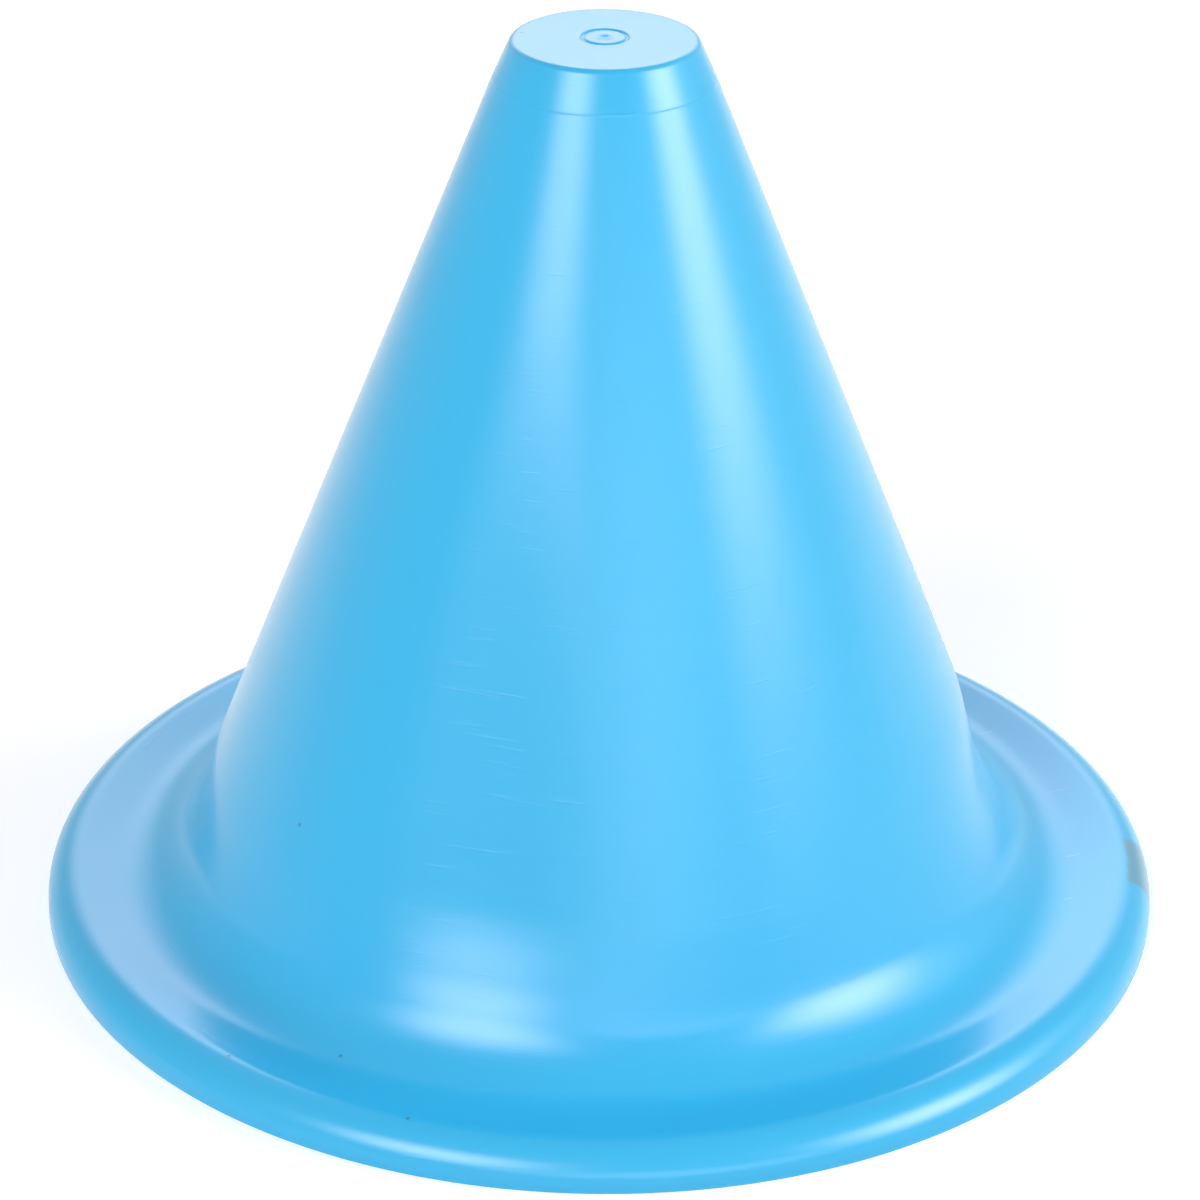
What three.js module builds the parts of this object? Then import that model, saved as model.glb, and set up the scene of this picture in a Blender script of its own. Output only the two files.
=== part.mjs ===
// Training cone: one soft plastic moulding, hollow and open underneath so that cones stack.
// Lengths are in millimetres and +Z is up. The origin is on the cone's axis, at the level of the
// surface that the cone stands on.

import * as THREE from 'three';

// Whole cone
const overallHeight = 180;
const brimDiameter = 225;
const wallThickness = 1.5;

// Flat tip, and the band round it that ends at the moulding line
const tipDiameter = 35.2;
const tipEdgeRadius = 1.4;
const bandHeight = 7.4;
const bandSpread = 3.3;

// Skirt, the foot of the wall, which stands a little steeper than the wall above the knee
const kneeHeight = 31;
const kneeRadius = 75;
const skirtWidth = 9.6;

// Brim: the skirt turns through a hollow gutter into a dish, which climbs to a rolled lip
const brimWidth = 25.6;
const gutterHeight = 5.1;
const gutterRadius = 14;
const lipCornerHeight = 8.8;
const lipRadius = 6.3;
const footEdgeRadius = 0.4;

// Plain round gate mark in the middle of the tip
const markDiameter = 8.4;
const markGrooveWidth = 0.6;
const markGrooveDepth = 0.3;
const gateDiameter = 2.2;
const gateDepth = 0.4;

// Fineness of the facets
const sidesRound = 72;
const chordError = 0.03;
const longestTangent = 0.95; // greatest share of a neighbouring stretch that a rounded corner may use

const skyBlue = 0x35b2ee;

// A stretch is one straight run of the wall's section, in the plane of radius x and height y.
// The plastic is on its right as it runs from the tip outwards and down to the foot.
function stretch(from, to) {
  const heading = to.clone().sub(from).normalize();
  const intoPlastic = new THREE.Vector2(heading.y, -heading.x);
  return { from, heading, intoPlastic };
}

// The same stretch moved into the plastic by a depth.
function moved(run, depth) {
  return { ...run, from: run.from.clone().addScaledVector(run.intoPlastic, depth) };
}

// The point where two stretches meet.
function meeting(first, second) {
  const gap = second.from.clone().sub(first.from);
  const along = gap.cross(second.heading) / first.heading.cross(second.heading);
  return first.from.clone().addScaledVector(first.heading, along);
}

// The points of a corner rounded to a radius, or the bare corner where there is no room for an arc.
function roundedCorner(before, corner, after, radius) {
  const arriving = corner.clone().sub(before);
  const leaving = after.clone().sub(corner);
  const room = longestTangent * Math.min(arriving.length(), leaving.length());
  arriving.normalize();
  leaving.normalize();
  const turn = Math.atan2(arriving.cross(leaving), arriving.dot(leaving));
  const halfTan = Math.tan(Math.abs(turn) / 2);
  const fitted = Math.min(radius, room / halfTan);
  if (fitted <= chordError) return [corner];
  const start = corner.clone().addScaledVector(arriving, -fitted * halfTan);
  const side = Math.sign(turn);
  const centre = new THREE.Vector2(-arriving.y, arriving.x).multiplyScalar(side * fitted).add(start);
  const largestStep = 2 * Math.acos(1 - chordError / fitted);
  const steps = Math.ceil(Math.abs(turn) / largestStep);
  const points = [];
  for (let step = 0; step <= steps; step += 1) {
    points.push(start.clone().rotateAround(centre, (turn * step) / steps));
  }
  return points;
}

// The section's corners from the tip's centre to the foot, each with the radius of its rounding.
const brimRadius = brimDiameter / 2;
const gutterReach = brimRadius - brimWidth;
const kneeReach = gutterReach - skirtWidth;
const bandReach = tipDiameter / 2 + bandSpread;
const corners = [
  { at: new THREE.Vector2(0, overallHeight), radius: 0 },
  { at: new THREE.Vector2(tipDiameter / 2, overallHeight), radius: tipEdgeRadius },
  { at: new THREE.Vector2(bandReach, overallHeight - bandHeight), radius: 0 },
  { at: new THREE.Vector2(kneeReach, kneeHeight), radius: kneeRadius },
  { at: new THREE.Vector2(gutterReach, gutterHeight), radius: gutterRadius },
  { at: new THREE.Vector2(brimRadius, lipCornerHeight), radius: lipRadius },
  { at: new THREE.Vector2(brimRadius, 0), radius: 0 },
];

// One skin of the wall from the tip to the foot: the outside at depth 0, the inside at the wall's
// thickness. Corners that bulge outwards get a smaller radius inside, and hollow ones a larger.
function skin(depth) {
  const stretches = [];
  for (let index = 1; index < corners.length; index += 1) {
    stretches.push(moved(stretch(corners[index - 1].at, corners[index].at), depth));
  }
  const bare = [new THREE.Vector2(0, overallHeight - depth)];
  for (let index = 1; index < stretches.length; index += 1) {
    bare.push(meeting(stretches[index - 1], stretches[index]));
  }
  bare.push(new THREE.Vector2(brimRadius - depth, 0));

  const points = [];
  for (let index = 1; index < stretches.length; index += 1) {
    const turn = stretches[index - 1].heading.cross(stretches[index].heading);
    const radius = corners[index].radius === 0 ? 0 : corners[index].radius + Math.sign(turn) * depth;
    points.push(...roundedCorner(bare[index - 1], bare[index], bare[index + 1], radius));
  }
  return points;
}

// The gate mark's dimple and ring groove, from the axis outwards across the tip's flat face.
function gateMark() {
  const grooveMiddle = markDiameter / 2;
  const grooveFloor = overallHeight - markGrooveDepth;
  return [
    new THREE.Vector2(0, overallHeight - gateDepth),
    new THREE.Vector2(gateDiameter / 4, overallHeight - gateDepth),
    new THREE.Vector2(gateDiameter / 2, overallHeight),
    new THREE.Vector2(grooveMiddle - markGrooveWidth / 2, overallHeight),
    new THREE.Vector2(grooveMiddle - markGrooveWidth / 4, grooveFloor),
    new THREE.Vector2(grooveMiddle + markGrooveWidth / 4, grooveFloor),
    new THREE.Vector2(grooveMiddle + markGrooveWidth / 2, overallHeight),
  ];
}

// The foot: the rolled lip's lower edge, rounded outside and flat where it rests.
function foot() {
  const aboveFoot = new THREE.Vector2(brimRadius, lipCornerHeight);
  const outerFoot = new THREE.Vector2(brimRadius, 0);
  const innerFoot = new THREE.Vector2(brimRadius - wallThickness, 0);
  return [...roundedCorner(aboveFoot, outerFoot, innerFoot, footEdgeRadius), innerFoot];
}

// The whole section runs from the axis down the inside, round the foot and up the outside.
function coneShell() {
  const outside = [...gateMark(), ...skin(0), ...foot()];
  const inside = [new THREE.Vector2(0, overallHeight - wallThickness), ...skin(wallThickness)];
  const geometry = new THREE.LatheGeometry([...inside, ...outside.reverse()], sidesRound);
  geometry.rotateX(Math.PI / 2);
  const plastic = new THREE.MeshStandardMaterial({ color: skyBlue, roughness: 0.3, metalness: 0 });
  const shell = new THREE.Mesh(geometry, plastic);
  shell.name = 'cone_shell';
  return shell;
}

const trainingCone = new THREE.Group();
trainingCone.add(coneShell());

export default trainingCone;
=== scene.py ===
# %% [markdown]
# # A training cone in soft sky-blue plastic
#
# The real object is a single moulding: a flat closed tip, a straight wall that flares into a skirt, a
# shallow dished brim and a lip that rolls down to the ground. It is hollow underneath, so that cones
# stack. Nothing on it moves and nothing is fastened to it, so this lesson is about one surface done
# well: its section, the light that shows it, and the small marks of its making.
#
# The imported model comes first. It fixes where the cone is and how big it is, and everything below is
# measured from it.

# %% Load the frame
import math

import bpy
from mathutils import Matrix, Vector


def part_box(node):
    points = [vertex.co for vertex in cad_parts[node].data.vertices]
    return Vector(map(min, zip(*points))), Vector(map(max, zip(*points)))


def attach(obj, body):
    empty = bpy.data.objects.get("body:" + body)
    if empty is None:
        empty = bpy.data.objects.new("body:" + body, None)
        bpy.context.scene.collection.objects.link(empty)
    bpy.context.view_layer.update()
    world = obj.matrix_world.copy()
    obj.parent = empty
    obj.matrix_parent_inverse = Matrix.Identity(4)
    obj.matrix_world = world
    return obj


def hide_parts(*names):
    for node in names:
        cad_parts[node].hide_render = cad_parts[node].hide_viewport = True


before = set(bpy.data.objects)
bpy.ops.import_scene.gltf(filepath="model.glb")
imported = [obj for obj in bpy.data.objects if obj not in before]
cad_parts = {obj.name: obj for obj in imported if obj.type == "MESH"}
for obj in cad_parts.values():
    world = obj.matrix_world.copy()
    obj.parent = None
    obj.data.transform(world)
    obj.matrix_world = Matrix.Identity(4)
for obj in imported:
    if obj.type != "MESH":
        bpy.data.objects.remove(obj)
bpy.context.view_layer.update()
MM = 0.001
CONE_NODE = "cone_shell"
node_low, node_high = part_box(CONE_NODE)
cone_height = node_high.z - node_low.z
brim_radius = (node_high.x - node_low.x) / 2
print(f"cone {cone_height / MM:.1f} mm high, brim {2 * brim_radius / MM:.1f} mm across")

# %% [markdown]
# ## The camera
#
# A long lens about 0.8 m away looks down by 27 degrees. It was found by matching the outline of the
# cone: the tip's ellipse gives the tilt, and how fast the brim widens against the tip gives the
# distance. The small roll makes up for a hand-held tilt.

# %% Place the camera
CAMERA_DISTANCE = 795.5 * MM
CAMERA_TILT_DOWN = math.radians(27.07)
CAMERA_ROLL = math.radians(0.38)
AIM_SIDEWAYS = -0.2 * MM
AIM_HEIGHT = 0.35 * cone_height
CAMERA_LENS = 120.0
CAMERA_SENSOR = 36.0
NEAREST_SEEN = 0.05
FARTHEST_SEEN = 50.0


def make_camera():
    data = bpy.data.cameras.new("studio_camera")
    data.lens = CAMERA_LENS
    data.sensor_width = CAMERA_SENSOR
    data.clip_start = NEAREST_SEEN
    data.clip_end = FARTHEST_SEEN
    camera = bpy.data.objects.new("studio_camera", data)
    bpy.context.scene.collection.objects.link(camera)
    turn = Matrix.Rotation(math.pi / 2 - CAMERA_TILT_DOWN, 4, "X") @ Matrix.Rotation(CAMERA_ROLL, 4, "Z")
    backwards = turn.to_3x3() @ Vector((0.0, 0.0, 1.0))
    aim = Vector((AIM_SIDEWAYS, 0.0, AIM_HEIGHT))
    camera.matrix_world = Matrix.Translation(aim + backwards * CAMERA_DISTANCE) @ turn
    return camera


bpy.context.scene.camera = make_camera()
print("camera at", [round(value, 4) for value in bpy.context.scene.camera.matrix_world.translation])

# %% [markdown]
# ## The section of the wall
#
# A mould maker draws this cone as half a section with rounded corners and turns it about the axis. The
# same corners are written here from the tip's centre to the foot. One function rounds them, and the
# inside skin is the outside one moved into the plastic by the wall's thickness.

# %% Corners of the section
WALL = 1.5 * MM
TIP_RADIUS = 17.6 * MM
TIP_EDGE = 1.4 * MM
BAND_HEIGHT = 7.4 * MM
BAND_SPREAD = 3.3 * MM
KNEE_HEIGHT = 31.0 * MM
KNEE_ROUNDING = 75.0 * MM
SKIRT_WIDTH = 9.6 * MM
BRIM_WIDTH = 25.6 * MM
GUTTER_HEIGHT = 5.1 * MM
GUTTER_ROUNDING = 14.0 * MM
LIP_CORNER_HEIGHT = 8.8 * MM
LIP_ROUNDING = 6.3 * MM
FOOT_ROUNDING = 0.4 * MM
INNER_FOOT_ROUNDING = 0.25 * MM

gutter_radius = brim_radius - BRIM_WIDTH
knee_radius = gutter_radius - SKIRT_WIDTH
# Each corner is its radius from the axis, its height and its rounding.
SECTION_CORNERS = [
    (0.0, cone_height, 0.0),
    (TIP_RADIUS, cone_height, TIP_EDGE),
    (TIP_RADIUS + BAND_SPREAD, cone_height - BAND_HEIGHT, 0.0),
    (knee_radius, KNEE_HEIGHT, KNEE_ROUNDING),
    (gutter_radius, GUTTER_HEIGHT, GUTTER_ROUNDING),
    (brim_radius, LIP_CORNER_HEIGHT, LIP_ROUNDING),
    (brim_radius, 0.0, 0.0),
]
print(f"{len(SECTION_CORNERS)} corners, the knee {knee_radius / MM:.1f} mm from the axis")

# %% Round a corner
ARC_STEP = math.radians(6.0)
FEWEST_ARC_STEPS = 3


def rounded_corner(before, corner, after, rounding):
    """The points of an arc that replaces a corner, or the corner itself where it stays sharp."""
    if rounding <= 0.0:
        return [corner]
    arriving = (corner - before).normalized()
    leaving = (after - corner).normalized()
    turn = math.atan2(arriving.x * leaving.y - arriving.y * leaving.x, arriving.dot(leaving))
    tangent = rounding * math.tan(abs(turn) / 2)
    start = corner - arriving * tangent
    side = Vector((-arriving.y, arriving.x)) * math.copysign(rounding, turn)
    centre = start + side
    steps = max(FEWEST_ARC_STEPS, math.ceil(abs(turn) / ARC_STEP))
    arc = []
    for step in range(steps + 1):
        arc.append(centre + Matrix.Rotation(turn * step / steps, 2) @ (start - centre))
    return arc


# %% Draw one skin of the wall
def line_meeting(first_point, first_heading, second_point, second_heading):
    """Where two straight lines cross."""
    gap = second_point - first_point
    across = first_heading.x * second_heading.y - first_heading.y * second_heading.x
    along = (gap.x * second_heading.y - gap.y * second_heading.x) / across
    return first_point + first_heading * along


def skin(depth):
    """One skin from the tip's centre to the foot: the outside at depth 0, the inside at the wall's."""
    corners = [Vector(corner[:2]) for corner in SECTION_CORNERS]
    headings = [(b - a).normalized() for a, b in zip(corners, corners[1:])]
    moved = [a + Vector((h.y, -h.x)) * depth for a, h in zip(corners, headings)]
    bare = [Vector((0.0, cone_height - depth))]
    for index in range(1, len(headings)):
        bare.append(line_meeting(moved[index - 1], headings[index - 1], moved[index], headings[index]))
    bare.append(Vector((brim_radius - depth, 0.0)))
    points = [bare[0]]
    for index in range(1, len(headings)):
        turn = headings[index - 1].x * headings[index].y - headings[index - 1].y * headings[index].x
        rounding = SECTION_CORNERS[index][2]
        if rounding > 0.0:
            rounding += math.copysign(depth, turn)
        points.extend(rounded_corner(bare[index - 1], bare[index], bare[index + 1], rounding))
    return points


def foot():
    """The lower edge of the lip, flat where it rests and rounded on both sides."""
    above_outside = Vector((brim_radius, LIP_CORNER_HEIGHT))
    outside = Vector((brim_radius, 0.0))
    inside = Vector((brim_radius - WALL, 0.0))
    above_inside = Vector((brim_radius - WALL, LIP_CORNER_HEIGHT))
    outer_round = rounded_corner(above_outside, outside, inside, FOOT_ROUNDING)
    inner_round = rounded_corner(outside, inside, above_inside, INNER_FOOT_ROUNDING)
    return outer_round + inner_round


print(f"{len(skin(0.0))} points outside, {len(skin(WALL))} inside and {len(foot())} at the foot")

# %% [markdown]
# A surface that is displaced or lit needs enough rows to bend between its corners. The rows are close
# across the gate mark and along the rounded parts, and wide down the straight wall.

# %% Fill the straight runs with rows
FINE_ROW = 0.16 * MM
TIP_ROW = 0.9 * MM
WALL_ROW = 1.6 * MM
INSIDE_ROW = 4.0 * MM
MARK_ZONE = 6.0 * MM
LONGEST_LEFT = 1.5


def filled(points, spacing):
    """The same outline with rows about a spacing apart, which may depend on the place."""
    rows = [points[0]]
    for start, end in zip(points, points[1:]):
        gap = (end - start).length
        travelled = 0.0
        while gap - travelled > LONGEST_LEFT * spacing(rows[-1]):
            travelled += spacing(rows[-1])
            rows.append(start.lerp(end, travelled / gap))
        rows.append(end)
    return rows


def outside_spacing(point):
    on_tip = point.y > cone_height - TIP_EDGE / 2
    if on_tip and point.x < MARK_ZONE:
        return FINE_ROW
    return TIP_ROW if on_tip else WALL_ROW


outer_rows = filled(skin(0.0), outside_spacing)
inner_rows = filled(skin(WALL), lambda point: INSIDE_ROW)
section = outer_rows + foot() + inner_rows[::-1]
print(f"section: {len(outer_rows)} rows outside, {len(inner_rows)} inside, {len(section)} in all")

# %% Draw the section as a chain of edges
section_mesh = bpy.data.meshes.new("cone_section")
section_mesh.from_pydata(
    [(point.x, 0.0, point.y) for point in section],
    [(index, index + 1) for index in range(len(section) - 1)],
    [],
)
run = [0.0]
for start, end in zip(section, section[1:]):
    run.append(run[-1] + (end - start).length)
along = section_mesh.attributes.new("along", "FLOAT", "POINT")
along.data.foreach_set("value", run)
section_object = bpy.data.objects.new("cone_section", section_mesh)
bpy.context.scene.collection.objects.link(section_object)
print(f"distance along the section from tip to tip: {run[-1] / MM:.0f} mm")

# %% [markdown]
# ## Nodes that turn the section
#
# The wall's shape follows one rule, so Geometry Nodes make it. A flat grid has a column for each step
# round the axis and a row for each point of the section. Every grid point looks up its section point
# and swings it round to its own angle. Merging closes the seam at the back and the two poles.

# %% Short helpers for node trees
def add_node(tree, kind, inputs=None, **settings):
    """A new node with its settings, its values and its links."""
    made = tree.nodes.new(kind)
    for name, value in settings.items():
        setattr(made, name, value)
    for socket, value in (inputs or {}).items():
        if isinstance(value, bpy.types.NodeSocket):
            tree.links.new(value, made.inputs[socket])
        else:
            made.inputs[socket].default_value = value
    return made


def calc(tree, operation, *values):
    """The output of a Math node."""
    kind = "ShaderNodeMath"
    return add_node(tree, kind, dict(enumerate(values)), operation=operation).outputs[0]


# %% Name the tree's inputs
turning = bpy.data.node_groups.new("turned_shell", "GeometryNodeTree")
turning.interface.new_socket("Geometry", in_out="INPUT", socket_type="NodeSocketGeometry")
turning.interface.new_socket("Geometry", in_out="OUTPUT", socket_type="NodeSocketGeometry")
TREE_INPUTS = {
    "Sides": ("NodeSocketInt", 288),
    "Mark Radius": ("NodeSocketFloat", 4.2 * MM),
    "Mark Offset": ("NodeSocketFloat", 1.1 * MM),
    "Groove Width": ("NodeSocketFloat", 0.34 * MM),
    "Groove Depth": ("NodeSocketFloat", 0.32 * MM),
    "Gate Radius": ("NodeSocketFloat", 1.1 * MM),
    "Gate Depth": ("NodeSocketFloat", 0.3 * MM),
    "Ripple Size": ("NodeSocketFloat", 0.05 * MM),
    "Front Dent": ("NodeSocketFloat", 2.2 * MM),
    "Front Hollow": ("NodeSocketFloat", 1.5 * MM),
    "Right Hollow": ("NodeSocketFloat", 1.2 * MM),
    "Right Dent": ("NodeSocketFloat", 2.0 * MM),
    "Left Dent": ("NodeSocketFloat", 1.4 * MM),
    "Lip Flare": ("NodeSocketFloat", -0.7 * MM),
}
input_ids = {}
for name, (kind, _) in TREE_INPUTS.items():
    input_ids[name] = turning.interface.new_socket(name, in_out="INPUT", socket_type=kind).identifier
given = turning.nodes.new("NodeGroupInput").outputs
print(len(TREE_INPUTS), "inputs:", ", ".join(TREE_INPUTS))

# %% Lay out the grid
GRID_SIZE = 1.0
drawn = given["Geometry"]
rows = add_node(turning, "GeometryNodeAttributeDomainSize", {"Geometry": drawn}).outputs["Point Count"]
columns = calc(turning, "ADD", given["Sides"], 1.0)
grid = add_node(
    turning,
    "GeometryNodeMeshGrid",
    {"Size X": GRID_SIZE, "Size Y": GRID_SIZE, "Vertices X": columns, "Vertices Y": rows},
)
place = add_node(turning, "GeometryNodeInputPosition").outputs[0]
spot = add_node(turning, "ShaderNodeSeparateXYZ", {0: place}).outputs
share_round = calc(turning, "ADD", spot["X"], GRID_SIZE / 2)
share_down = calc(turning, "ADD", spot["Y"], GRID_SIZE / 2)
row = calc(turning, "ROUND", calc(turning, "MULTIPLY", share_down, calc(turning, "SUBTRACT", rows, 1.0)))
print(f"a column every {360 / TREE_INPUTS['Sides'][1]:.2f} degrees round the axis")

# %% Look up the section and store the map
run_there = add_node(
    turning,
    "GeometryNodeSampleIndex",
    {
        "Geometry": drawn,
        "Value": add_node(turning, "GeometryNodeInputNamedAttribute", {"Name": "along"}).outputs[0],
        "Index": row,
    },
).outputs[0]
section_spot = add_node(
    turning,
    "GeometryNodeSampleIndex",
    {"Geometry": drawn, "Value": place, "Index": row},
    data_type="FLOAT_VECTOR",
).outputs[0]
kept_run = add_node(
    turning,
    "GeometryNodeStoreNamedAttribute",
    {"Geometry": grid.outputs["Mesh"], "Name": "along", "Value": run_there},
)
flat_map = add_node(turning, "ShaderNodeCombineXYZ", {"X": share_round, "Y": run_there}).outputs[0]
kept_map = add_node(
    turning,
    "GeometryNodeStoreNamedAttribute",
    {"Geometry": kept_run.outputs[0], "Name": "UVMap", "Value": flat_map},
    data_type="FLOAT2",
    domain="CORNER",
)
print("each point keeps its distance along the section, and the mesh its flat map")

# %% Swing every point round the axis
# The grid's two edges meet half a turn from the camera's side, so the seam lies at the back.
SEAM_TURN = 0.5
MERGE_GAP = 0.002 * MM
reach = add_node(turning, "ShaderNodeSeparateXYZ", {0: section_spot}).outputs
turned_by = calc(turning, "MULTIPLY", calc(turning, "ADD", share_round, SEAM_TURN), 2 * math.pi)
to_right = calc(turning, "MULTIPLY", reach["X"], calc(turning, "SINE", turned_by))
to_front = calc(turning, "MULTIPLY", reach["X"], calc(turning, "COSINE", turned_by))
swung = add_node(
    turning,
    "ShaderNodeCombineXYZ",
    {"X": to_right, "Y": calc(turning, "MULTIPLY", to_front, -1.0), "Z": reach["Z"]},
).outputs[0]
turned = add_node(
    turning, "GeometryNodeSetPosition", {"Geometry": kept_map.outputs[0], "Position": swung}
)
closed = add_node(
    turning, "GeometryNodeMergeByDistance", {"Geometry": turned.outputs[0], "Distance": MERGE_GAP}
)
print("the seam is", 360 * SEAM_TURN, "degrees from the camera's side")

# %% [markdown]
# The mark where the plastic entered the mould is pressed into the tip's face: a round groove, and a
# shallow pit in its middle. It is a height that depends on the distance from the mark's centre, so
# nodes press it in, only on the outer face of the tip. The next step lets the wall ripple by a few
# hundredths of a millimetre, as a thin soft wall does when it cools.

# %% Press the gate mark
FACE_DEPTH = 0.1 * MM


def bell(tree, distance, width):
    """1 at distance 0, falling smoothly to 0 past the width."""
    share = calc(tree, "DIVIDE", distance, width)
    return calc(tree, "EXPONENT", calc(tree, "MULTIPLY", calc(tree, "MULTIPLY", share, share), -1.0))


def flat_distance(tree, x, y):
    """How far a point is from the axis, seen from above."""
    squares = calc(tree, "ADD", calc(tree, "MULTIPLY", x, x), calc(tree, "MULTIPLY", y, y))
    return calc(tree, "SQRT", squares)


here = add_node(turning, "GeometryNodeInputPosition").outputs[0]
at = add_node(turning, "ShaderNodeSeparateXYZ", {0: here}).outputs
from_mark = flat_distance(turning, at["X"], calc(turning, "SUBTRACT", at["Y"], given["Mark Offset"]))
from_groove = calc(turning, "SUBTRACT", from_mark, given["Mark Radius"])
groove = calc(turning, "MULTIPLY", bell(turning, from_groove, given["Groove Width"]), given["Groove Depth"])
gate = calc(turning, "MULTIPLY", bell(turning, from_mark, given["Gate Radius"]), given["Gate Depth"])
on_face = calc(turning, "GREATER_THAN", at["Z"], cone_height - FACE_DEPTH)
pressed = calc(turning, "MULTIPLY", calc(turning, "ADD", groove, gate), on_face)
pressed_down = add_node(
    turning, "ShaderNodeCombineXYZ", {"Z": calc(turning, "MULTIPLY", pressed, -1.0)}
).outputs[0]
marked = add_node(
    turning, "GeometryNodeSetPosition", {"Geometry": closed.outputs[0], "Offset": pressed_down}
)
print(f"gate mark {2 * TREE_INPUTS['Mark Radius'][1] / MM:.1f} mm across")

# %% Ripple the wall
NOISE_MIDDLE = 0.5


def noise(tree, scale, detail, roughness, where=None):
    """Smooth noise from 0 to 1. In a geometry tree it follows the position unless given another."""
    inputs = {"Scale": scale, "Detail": detail, "Roughness": roughness}
    if where is not None:
        inputs["Vector"] = where
    return add_node(tree, "ShaderNodeTexNoise", inputs).outputs[0]


def vector_calc(tree, operation, inputs):
    """The vector output of a Vector Math node."""
    return add_node(tree, "ShaderNodeVectorMath", inputs, operation=operation).outputs[0]


wave = noise(turning, scale=30.0, detail=1.0, roughness=0.4)
ripple = calc(turning, "MULTIPLY", calc(turning, "SUBTRACT", wave, NOISE_MIDDLE), given["Ripple Size"])
wall_direction = add_node(turning, "GeometryNodeInputNormal").outputs[0]
ripple_push = vector_calc(turning, "SCALE", {0: wall_direction, "Scale": ripple})
rippled = add_node(
    turning, "GeometryNodeSetPosition", {"Geometry": marked.outputs[0], "Offset": ripple_push}
)
print(f"ripples of {TREE_INPUTS['Ripple Size'][1] / MM:.2f} mm from crest to hollow")

# %% [markdown]
# A soft cone is never quite round. Where it was squeezed in its stack the foot of the wall stands in a
# little, which the photograph shows as a tall soft highlight on the left of the front and as a steeper
# outline on the right. The lip flares by less than a millimetre at the front. Each soft spot has a
# direction, a spread round the axis, a height where it is deepest, and the heights where it fades out
# below and above. Its zone keeps a dent in the wall from moving the lip. A negative size points outwards.

# %% List the soft spots
# A zone is the distance from the axis where a spot fades to nothing and the one where it is whole.
WALL_ZONE = (100.0 * MM, 90.0 * MM)
LIP_ZONE = (98.0 * MM, 106.0 * MM)
# Each spot is its zone, its azimuth from the camera's side, its spread in degrees, and the heights
# where it begins, is deepest and ends.
SOFT_SPOTS = {
    "Front Dent": (WALL_ZONE, -18.0, 16.0, 15.0 * MM, 34.0 * MM, 140.0 * MM),
    "Front Hollow": (WALL_ZONE, -17.0, 16.0, 10.0 * MM, 21.5 * MM, 140.0 * MM),
    "Right Hollow": (WALL_ZONE, 38.0, 22.0, 9.5 * MM, 18.0 * MM, 120.0 * MM),
    "Right Dent": (WALL_ZONE, 98.0, 34.0, 9.0 * MM, 27.0 * MM, 46.0 * MM),
    "Left Dent": (WALL_ZONE, -104.0, 34.0, 6.0 * MM, 19.0 * MM, 31.0 * MM),
    "Lip Flare": (LIP_ZONE, 12.0, 40.0, -10.0 * MM, 1.0 * MM, 8.5 * MM),
}
for name in SOFT_SPOTS:
    print(f"{name}: {TREE_INPUTS[name][1] / MM:.1f} mm")

# %% Press the soft spots in
FLAT = (1.0, 1.0, 0.0)


def smooth_share(tree, value, start, end):
    """0 up to the start and 1 from the end on, with a smooth rise between."""
    settings = {"Value": value, "From Min": start, "From Max": end}
    return add_node(tree, "ShaderNodeMapRange", settings, interpolation_type="SMOOTHSTEP").outputs[0]


def scalar_calc(tree, operation, inputs):
    """The plain number that a Vector Math node gives."""
    return add_node(tree, "ShaderNodeVectorMath", inputs, operation=operation).outputs["Value"]


def with_soft_spot(shape, size, zone, azimuth, spread, bottom, deepest, top):
    """The shape with one spot pressed towards the axis by its size."""
    now = add_node(turning, "GeometryNodeInputPosition").outputs[0]
    level = add_node(turning, "ShaderNodeSeparateXYZ", {0: now}).outputs["Z"]
    flat_spot = vector_calc(turning, "MULTIPLY", {0: now, 1: FLAT})
    away = vector_calc(turning, "NORMALIZE", {0: flat_spot})
    in_zone = smooth_share(turning, scalar_calc(turning, "LENGTH", {0: flat_spot}), *zone)
    turn = math.radians(azimuth)
    fan = math.radians(spread)
    facing = scalar_calc(turning, "DOT_PRODUCT", {0: away, 1: (math.sin(turn), -math.cos(turn), 0.0)})
    # A cosine falls below 1 by half the square of the angle, so this is the square of the angle
    # measured in spreads, with a minus sign.
    turned_off = calc(turning, "DIVIDE", calc(turning, "SUBTRACT", facing, 1.0), fan * fan / 2)
    below = smooth_share(turning, level, bottom, deepest)
    above = smooth_share(turning, level, top, deepest)
    across = calc(turning, "MULTIPLY", calc(turning, "EXPONENT", turned_off), in_zone)
    share = calc(turning, "MULTIPLY", across, calc(turning, "MULTIPLY", below, above))
    inwards = calc(turning, "MULTIPLY", share, calc(turning, "MULTIPLY", size, -1.0))
    push = vector_calc(turning, "SCALE", {0: away, "Scale": inwards})
    return add_node(turning, "GeometryNodeSetPosition", {"Geometry": shape.outputs[0], "Offset": push})


bent = rippled
for name, spot_sizes in SOFT_SPOTS.items():
    bent = with_soft_spot(bent, given[name], *spot_sizes)
smooth = add_node(turning, "GeometryNodeSetShadeSmooth", {"Geometry": bent.outputs[0]})
print("the tree has", len(turning.nodes), "nodes so far")

# %% [markdown]
# ## The plastic
#
# The colour goes all through the plastic, so a single mid blue carries it, with a faint drift where the
# pigment mixed unevenly. What makes it read as moulded plastic is the gloss, which has two layers. A wide
# dull one spreads a haze between the bands of light, and a clear coat over it draws the bands and the
# glints on the lip. Fine turning marks of the mould and a few hairlines run round the axis, a soft
# orange-peel blurs the reflections, and a thin line under the tip shows where two parts of the mould met.

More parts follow.
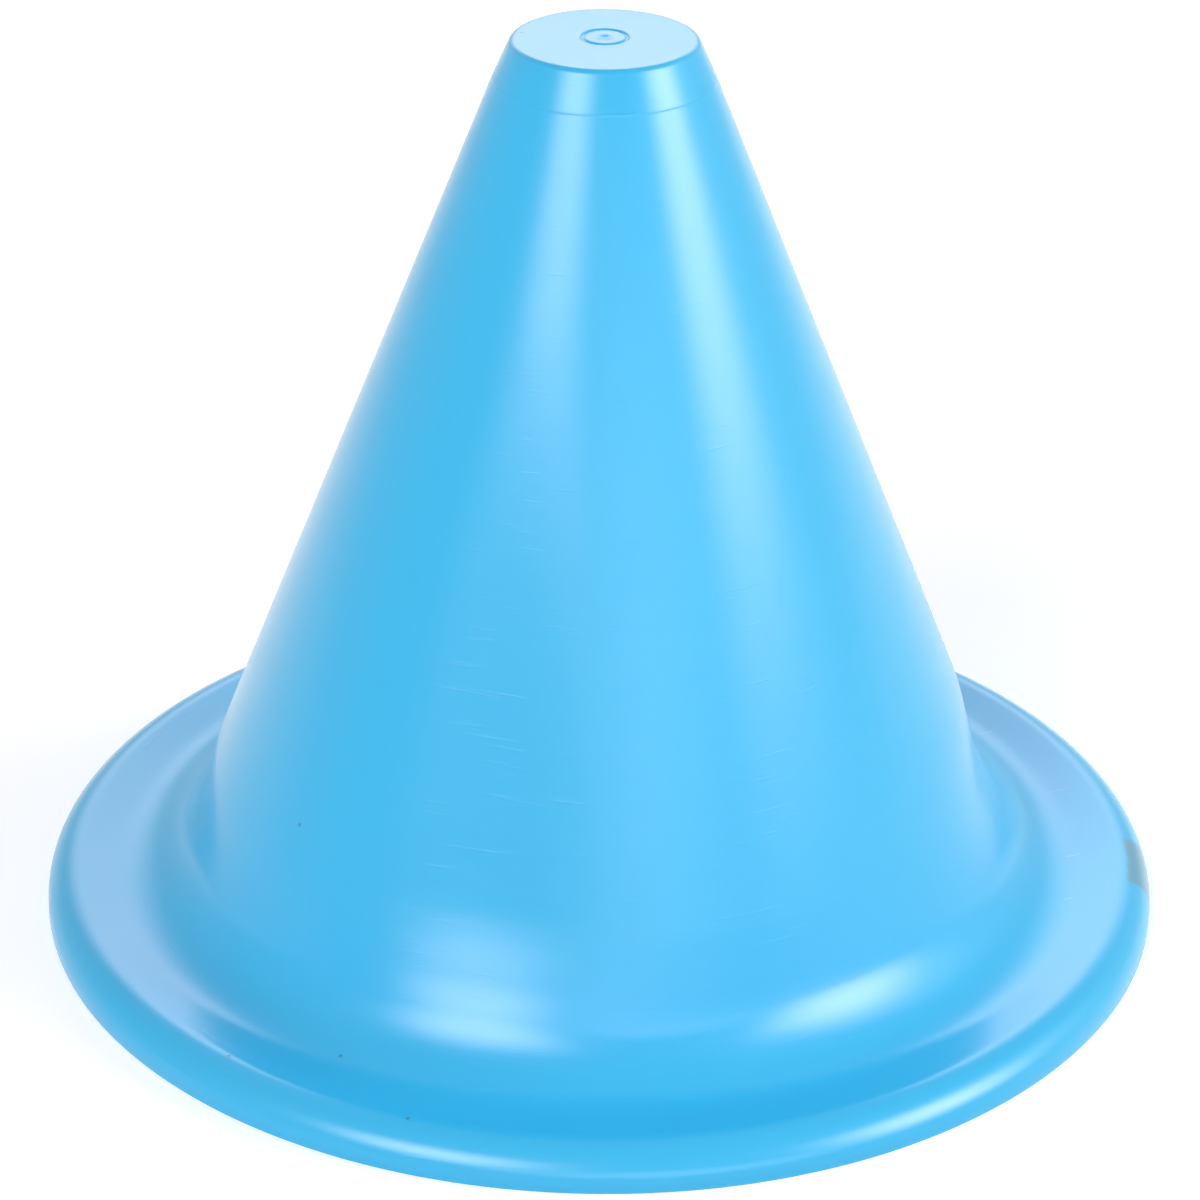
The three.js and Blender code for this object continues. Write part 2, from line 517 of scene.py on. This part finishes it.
# %% Start the plastic's material
PLASTIC_IOR = 1.5
GLOSS_LAYERS = {
    "IOR": PLASTIC_IOR,
    "Specular IOR Level": 0.15,
    "Coat Weight": 0.9,
    "Coat Roughness": 0.21,
    "Coat IOR": PLASTIC_IOR,
}
plastic = bpy.data.materials.new("sky_blue_plastic")
plastic.use_nodes = True
paint = plastic.node_tree
surface = paint.nodes["Principled BSDF"]
for socket, value in GLOSS_LAYERS.items():
    surface.inputs[socket].default_value = value
    print(f"{socket}: {value}")

# %% Directions on the surface
NEAREST_AXIS = 0.5 * MM
object_spot = add_node(paint, "ShaderNodeTexCoord").outputs["Object"]
axes = add_node(paint, "ShaderNodeSeparateXYZ", {0: object_spot}).outputs
from_axis = flat_distance(paint, axes["X"], axes["Y"])
safe_radius = calc(paint, "MAXIMUM", from_axis, NEAREST_AXIS)
run_down = add_node(paint, "ShaderNodeAttribute", attribute_name="along").outputs["Fac"]


def turned_noise(spread_round, wavelength, detail, seed):
    """Noise that is stretched round the axis, like the marks of a turning tool."""
    vector = add_node(
        paint,
        "ShaderNodeCombineXYZ",
        {
            "X": calc(paint, "MULTIPLY", calc(paint, "DIVIDE", axes["X"], safe_radius), spread_round),
            "Y": calc(paint, "MULTIPLY", calc(paint, "DIVIDE", axes["Y"], safe_radius), spread_round),
            "Z": calc(paint, "DIVIDE", run_down, wavelength),
        },
    ).outputs[0]
    return add_node(
        paint,
        "ShaderNodeTexNoise",
        {"Vector": vector, "W": seed, "Scale": 1.0, "Detail": detail, "Roughness": 0.5},
        noise_dimensions="4D",
    ).outputs[0]


print(f"directions round the axis hold from {NEAREST_AXIS / MM:.1f} mm outwards")

# %% [markdown]
# The small marks are placed one by one, each as it is seen from above: four short scratches across
# the right of the dish and five specks of dirt, which are marks of use, and a brownish painted reflection
# on the lip at the right, which is painted light. Each one is a mask, which is 1 on the mark and 0 away
# from it.

# %% Scratches across the dish
# Each scratch is its middle, to the right and to the back, and its length.
SCRATCHES = [
    (83.0 * MM, 48.4 * MM, 3.4 * MM),
    (96.6 * MM, 23.4 * MM, 4.6 * MM),
    (96.8 * MM, -3.1 * MM, 3.0 * MM),
    (94.3 * MM, -20.0 * MM, 1.6 * MM),
]
SCRATCH_TURN = math.radians(18.0)
SCRATCH_WIDTH = 0.16 * MM
plan_spot = vector_calc(paint, "MULTIPLY", {0: object_spot, 1: FLAT})


def largest(tree, masks):
    """The strongest of several masks."""
    total = masks[0]
    for mask in masks[1:]:
        total = calc(tree, "MAXIMUM", total, mask)
    return total


def scratch_mask(middle_x, middle_y, length):
    """1 along a short straight line seen from above, and 0 away from it."""
    heading = Vector((math.cos(SCRATCH_TURN), math.sin(SCRATCH_TURN), 0.0))
    start = Vector((middle_x, middle_y, 0.0)) - heading * length / 2
    offset = vector_calc(paint, "SUBTRACT", {0: plan_spot, 1: start})
    travelled = scalar_calc(paint, "DOT_PRODUCT", {0: offset, 1: heading})
    kept = calc(paint, "MINIMUM", calc(paint, "MAXIMUM", travelled, 0.0), length)
    nearest = vector_calc(paint, "SCALE", {0: heading, "Scale": kept})
    return bell(paint, scalar_calc(paint, "DISTANCE", {0: offset, 1: nearest}), SCRATCH_WIDTH)


scratched = largest(paint, [scratch_mask(*scratch) for scratch in SCRATCHES])
print(len(SCRATCHES), "scratches")

# %% Specks of dirt
# Each speck is its place to the right and to the back. The section gives its height.
SPECKS = [
    (-15.5 * MM, 3.1 * MM),
    (-57.4 * MM, -47.2 * MM),
    (-69.1 * MM, -80.6 * MM),
    (-48.3 * MM, -79.1 * MM),
    (-34.7 * MM, -100.7 * MM),
]
SPECK_WIDTH = 0.36 * MM


def outside_height(radius):
    """The height of the outside skin at a distance from the axis."""
    for start, end in zip(outer_rows, outer_rows[1:]):
        if start.x <= radius < end.x:
            return start.lerp(end, (radius - start.x) / (end.x - start.x)).y
    return 0.0


def speck_mask(middle_x, middle_y):
    """1 on a small round speck on the outside."""
    middle = (middle_x, middle_y, outside_height(math.hypot(middle_x, middle_y)))
    away_from_speck = scalar_calc(paint, "DISTANCE", {0: object_spot, 1: middle})
    return bell(paint, away_from_speck, SPECK_WIDTH)


specked = largest(paint, [speck_mask(*speck) for speck in SPECKS])
print(len(SPECKS), "specks")

# %% The painted reflection on the lip
# A brownish reflection is painted into the lip's colour on its right side: painted light, not dirt.
PAINTED_REFLECTION_MIDDLE = -6.5 * MM
PAINTED_REFLECTION_HALF = 8.5 * MM
PAINTED_REFLECTION_START = 107.0 * MM
PAINTED_REFLECTION_FADE = 1.2 * MM
PAINTED_REFLECTION_WOBBLE = 6.0 * MM
PAINTED_REFLECTION_CLEAR = 3.0 * MM
# The patch's edge towards the dish wobbles less than its two ends.
INNER_EDGE_WOBBLE = 0.3

reflection_edge_noise = noise(paint, scale=260.0, detail=4.0, roughness=0.65, where=object_spot)
reflection_edge_shift = calc(paint, "MULTIPLY", calc(paint, "SUBTRACT", reflection_edge_noise, NOISE_MIDDLE), PAINTED_REFLECTION_WOBBLE)
from_painted_reflection = calc(paint, "ABSOLUTE", calc(paint, "SUBTRACT", axes["Y"], PAINTED_REFLECTION_MIDDLE))
ragged = calc(paint, "ADD", from_painted_reflection, reflection_edge_shift)
painted_reflection_long = smooth_share(paint, ragged, PAINTED_REFLECTION_HALF + PAINTED_REFLECTION_FADE, PAINTED_REFLECTION_HALF - PAINTED_REFLECTION_FADE)
ragged_out = calc(paint, "ADD", from_axis, calc(paint, "MULTIPLY", reflection_edge_shift, INNER_EDGE_WOBBLE))
painted_reflection_out = smooth_share(paint, ragged_out, PAINTED_REFLECTION_START, PAINTED_REFLECTION_START + PAINTED_REFLECTION_FADE)
painted_reflection_low = smooth_share(paint, calc(paint, "ADD", axes["Z"], reflection_edge_shift), 0.0, PAINTED_REFLECTION_CLEAR)
on_right = calc(paint, "GREATER_THAN", axes["X"], 0.0)
painted_reflection_side = calc(paint, "MULTIPLY", calc(paint, "MULTIPLY", painted_reflection_long, painted_reflection_out), on_right)
painted_reflection = calc(paint, "MULTIPLY", painted_reflection_side, painted_reflection_low)
print(f"grubby patch {2 * PAINTED_REFLECTION_HALF / MM:.0f} mm long")

# %% Colour
SKY_BLUE = (0.032, 0.488, 0.838, 1.0)
SKY_BLUE_DEEP = (0.028, 0.474, 0.824, 1.0)
# The brown is a painted reflection on the lip, not a stain.
PAINTED_REFLECTION_BROWN = (0.130, 0.270, 0.310, 1.0)
PAINTED_REFLECTION_STRENGTH = 0.65
SCRATCH_PALE = (0.220, 0.600, 0.820, 1.0)
SCRATCH_STRENGTH = 0.6
SPECK_GREY = (0.020, 0.060, 0.080, 1.0)
SPECK_STRENGTH = 0.7


def layered(below, cover, mask, strength=1.0):
    """One colour laid over another where a mask says so."""
    factor = calc(paint, "MULTIPLY", mask, strength)
    colours = {"Factor": factor, 6: below, 7: cover}
    return add_node(paint, "ShaderNodeMix", colours, data_type="RGBA").outputs[2]


drift = noise(paint, scale=14.0, detail=3.0, roughness=0.55, where=object_spot)
pigment = layered(SKY_BLUE_DEEP, SKY_BLUE, drift)
# Lays the painted brownish reflection into the lip's colour.
pigment_with_painted_reflection = layered(pigment, PAINTED_REFLECTION_BROWN, painted_reflection, PAINTED_REFLECTION_STRENGTH)
scratched_pigment = layered(pigment_with_painted_reflection, SCRATCH_PALE, scratched, SCRATCH_STRENGTH)
specked_pigment = layered(scratched_pigment, SPECK_GREY, specked, SPECK_STRENGTH)
paint.links.new(specked_pigment, surface.inputs["Base Color"])
print("base colour near", SKY_BLUE[:3])

# %% Gloss
# The haze is noise that lies mostly between its first two values, and it moves the roughness of the
# wide dull layer between the last two.
HAZE_RANGE = {"From Min": 0.3, "From Max": 0.7, "To Min": 0.42, "To Max": 0.50}
haze = noise(paint, scale=45.0, detail=4.0, roughness=0.6, where=object_spot)
shine = add_node(paint, "ShaderNodeMapRange", {"Value": haze, **HAZE_RANGE}).outputs[0]
paint.links.new(shine, surface.inputs["Roughness"])
print("roughness from", HAZE_RANGE["To Min"], "to", HAZE_RANGE["To Max"])

# %% Relief of the surface
TOOL_MARK = 0.65 * MM
HAIRLINE = 0.42 * MM
# Only the crests of the hairline noise make a line: it begins at the first value and is whole at the
# second.
HAIRLINE_CREST = (0.62, 0.76)
MOULD_LINE_WIDTH = 0.22 * MM
OUTSIDE_FADE = 1.0 * MM

tool_marks = turned_noise(spread_round=3.0, wavelength=TOOL_MARK, detail=2.0, seed=1.0)
hairline_noise = turned_noise(spread_round=5.0, wavelength=HAIRLINE, detail=1.0, seed=7.0)
hairlines = smooth_share(paint, hairline_noise, *HAIRLINE_CREST)
peel = noise(paint, scale=170.0, detail=2.0, roughness=0.5, where=object_spot)
from_mould_line = calc(paint, "SUBTRACT", axes["Z"], cone_height - BAND_HEIGHT)
outside_end = run[len(outer_rows) - 1]
on_outside = smooth_share(paint, run_down, outside_end, outside_end - OUTSIDE_FADE)
mould_line = calc(paint, "MULTIPLY", bell(paint, from_mould_line, MOULD_LINE_WIDTH), on_outside)
# Each height is how far the plastic stands up, and a groove is a negative one.
HEIGHTS = [
    (tool_marks, 0.008 * MM),
    (peel, 0.006 * MM),
    (hairlines, -0.010 * MM),
    (mould_line, 0.045 * MM),
    (scratched, -0.012 * MM),
]
height = 0.0
for pattern, rise in HEIGHTS:
    height = calc(paint, "ADD", height, calc(paint, "MULTIPLY", pattern, rise))
relief = add_node(paint, "ShaderNodeBump", {"Height": height, "Distance": 1.0, "Strength": 1.0})
paint.links.new(relief.outputs[0], surface.inputs["Normal"])
paint.links.new(relief.outputs[0], surface.inputs["Coat Normal"])
print("plastic has", len(paint.nodes), "nodes")

# %% [markdown]
# ## The finished piece
#
# The tree ends by giving every face the plastic and by making its result real geometry. The chain of
# edges, evaluated with that tree, becomes a plain mesh, and the modifier goes, because other programs
# can't read the nodes. The mesh rides on the model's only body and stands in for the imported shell.

# %% Finish the tree and make the piece
coloured = add_node(turning, "GeometryNodeSetMaterial", {"Geometry": smooth.outputs[0]})
coloured.inputs["Material"].default_value = plastic
single = add_node(turning, "GeometryNodeRealizeInstances", {"Geometry": coloured.outputs[0]})
group_output = turning.nodes.new("NodeGroupOutput")
turning.links.new(single.outputs[0], group_output.inputs["Geometry"])

modifier = section_object.modifiers.new("turned_shell", "NODES")
modifier.node_group = turning
for name, (_, value) in TREE_INPUTS.items():
    modifier[input_ids[name]] = value

settled = section_object.evaluated_get(bpy.context.evaluated_depsgraph_get())
shell_mesh = bpy.data.meshes.new_from_object(settled)
section_object.modifiers.remove(modifier)
bpy.data.objects.remove(section_object)
shell = bpy.data.objects.new("moulded_cone", shell_mesh)
shell_mesh.name = "moulded_cone"
bpy.context.scene.collection.objects.link(shell)
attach(shell, "root")
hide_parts(CONE_NODE)
print(f"moulded cone: {len(shell_mesh.vertices)} points, {len(shell_mesh.polygons)} faces")

# %% [markdown]
# ## The floor
#
# The cone stands on plain white. The floor is pale paint that shows the cone's shadow, and for the
# camera and for reflections it gives off a little light of its own, so that it reads as white.

# %% Floor
FLOOR_SIZE = 6.0
FLOOR_DROP = 0.05 * MM
floor_mesh = bpy.data.meshes.new("studio_floor")
half = FLOOR_SIZE / 2
floor_corners = [(-half, -half), (half, -half), (half, half), (-half, half)]
floor_mesh.from_pydata([(x, y, -FLOOR_DROP) for x, y in floor_corners], [], [(0, 1, 2, 3)])
floor = bpy.data.objects.new("studio_floor", floor_mesh)
bpy.context.scene.collection.objects.link(floor)
print("floor", FLOOR_SIZE, "m across")

# %% Floor paint
FLOOR_WHITE = (0.85, 0.85, 0.85, 1.0)
FLOOR_GLOW = 0.42


def seen_or_mirrored(tree):
    """1 for what the camera sees, straight on, in gloss or through glass, and 0 for other light."""
    rays = add_node(tree, "ShaderNodeLightPath").outputs
    straight_or_gloss = calc(tree, "MAXIMUM", rays["Is Camera Ray"], rays["Is Glossy Ray"])
    return calc(tree, "MAXIMUM", straight_or_gloss, rays["Is Transmission Ray"])


floor_paint = bpy.data.materials.new("white_floor")
floor_paint.use_nodes = True
floor_tree = floor_paint.node_tree
floor_tree.nodes.clear()
floor_glow = calc(floor_tree, "MULTIPLY", seen_or_mirrored(floor_tree), FLOOR_GLOW)
matte = add_node(floor_tree, "ShaderNodeBsdfDiffuse", {"Color": FLOOR_WHITE})
glow = add_node(floor_tree, "ShaderNodeEmission", {"Strength": floor_glow})
floor_sum = add_node(floor_tree, "ShaderNodeAddShader", {0: matte.outputs[0], 1: glow.outputs[0]})
add_node(floor_tree, "ShaderNodeOutputMaterial", {"Surface": floor_sum.outputs[0]})
floor_mesh.materials.append(floor_paint)
print("floor glows by", FLOOR_GLOW)

# %% [markdown]
# ## Studio light
#
# Two softboxes stand to the left and right of the camera, and their reflections are the pale bands and
# patches on the wall and skirt. A low wide wall in front leaves a faint haze between the bands, and a
# bright panel behind the cone shows in the flat tip and in the sides of the brim, where the surface is
# seen at a low angle. Gloss and colour need different amounts of light, so some lamps show in the gloss
# alone, and the two fills only light. The glossy lamps are a little rose, which keeps their reflections
# on blue from turning green. The white room fills in the rest.

# %% World
ROOM_FILL = 0.30
ROOM_SEEN = 1.0
world = bpy.data.worlds.new("white_room")
bpy.context.scene.world = world
world.use_nodes = True
air = world.node_tree
air.nodes.clear()
room_strength = add_node(
    air, "ShaderNodeMapRange", {"Value": seen_or_mirrored(air), "To Min": ROOM_FILL, "To Max": ROOM_SEEN}
).outputs[0]
room_light = add_node(air, "ShaderNodeBackground", {"Strength": room_strength})
add_node(air, "ShaderNodeOutputWorld", {"Surface": room_light.outputs[0]})
print(f"the room lights at {ROOM_FILL} and is seen at {ROOM_SEEN}")

# %% [markdown]
# A softbox is brightest in the middle of its cloth and dim towards the frame. Without that fade its
# reflection on gloss has hard edges, which the plastic in the photograph doesn't show.

# %% Build a softbox
CLOTH_MIDDLE = 0.5
CLOTH_FADE = 0.45


def edge_fade(tree, share):
    """0 at both edges of the cloth, rising smoothly to 1 towards its middle."""
    off_middle = calc(tree, "ABSOLUTE", calc(tree, "SUBTRACT", share, CLOTH_MIDDLE))
    from_edge = calc(tree, "SUBTRACT", CLOTH_MIDDLE, off_middle)
    return smooth_share(tree, from_edge, 0.0, CLOTH_FADE)


def softbox(name, azimuth, elevation, distance, size, brightness, cloth_colour, lights=True, shines=True):
    """A rectangular lamp that faces the cone. Azimuth 0 is the camera's side, and 90 is the right.

    A lamp that doesn't light shows in the gloss alone, and one that doesn't shine only lights.
    """
    width, height = size
    data = bpy.data.lights.new(name, "AREA")
    data.shape = "RECTANGLE"
    data.size = width
    data.size_y = height
    data.color = cloth_colour
    data.energy = brightness * math.pi * width * height
    data.use_nodes = True
    cloth = data.node_tree
    on_cloth = add_node(cloth, "ShaderNodeNewGeometry").outputs["Parametric"]
    sides = add_node(cloth, "ShaderNodeSeparateXYZ", {0: on_cloth}).outputs
    fade = calc(cloth, "MULTIPLY", edge_fade(cloth, sides["X"]), edge_fade(cloth, sides["Y"]))
    cloth.links.new(fade, cloth.nodes["Emission"].inputs["Strength"])
    lamp = bpy.data.objects.new(name, data)
    bpy.context.scene.collection.objects.link(lamp)
    turn = math.radians(azimuth)
    rise = math.radians(elevation)
    outwards = Vector((math.sin(turn) * math.cos(rise), -math.cos(turn) * math.cos(rise), math.sin(rise)))
    target = Vector((0.0, 0.0, cone_height / 2))
    lamp.location = target + outwards * distance
    lamp.rotation_euler = (-outwards).to_track_quat("-Z", "Y").to_euler()
    lamp.visible_camera = False
    lamp.visible_diffuse = lights
    lamp.visible_glossy = shines
    print(f"{name}: {width:.2f} x {height:.2f} m, {data.energy:.1f} W")


# %% Place the softboxes
NEUTRAL = (1.0, 1.0, 1.0)
FAINT_ROSE = (1.0, 0.97, 1.0)
PALE_ROSE = (1.0, 0.92, 1.0)
ROSE = (1.0, 0.76, 0.97)
# After its name come a lamp's azimuth and elevation in degrees, its distance and size in metres, and
# its brightness.
softbox("left_softbox", -33.0, 31.0, 1.6, (1.50, 1.30), 9.0, FAINT_ROSE)
softbox("right_softbox", 68.0, 25.0, 1.6, (1.50, 1.40), 11.0, ROSE, lights=False)
softbox("right_fill", 90.0, 25.0, 1.6, (1.60, 1.30), 9.3, NEUTRAL, shines=False)
softbox("front_wall", 14.0, 14.0, 2.0, (3.60, 1.00), 2.8, PALE_ROSE, lights=False)
softbox("back_panel", 180.0, 28.0, 2.2, (3.20, 1.40), 2.7, PALE_ROSE, lights=False)
softbox("back_fill", 180.0, 6.0, 2.0, (2.40, 0.50), 12.0, NEUTRAL, shines=False)

# %% [markdown]
# ## Last setting
#
# The picture uses the Standard view transform. The visual model has to keep the size of the
# imported one.

# %% Set the view transform
bpy.context.scene.view_settings.view_transform = "Standard"
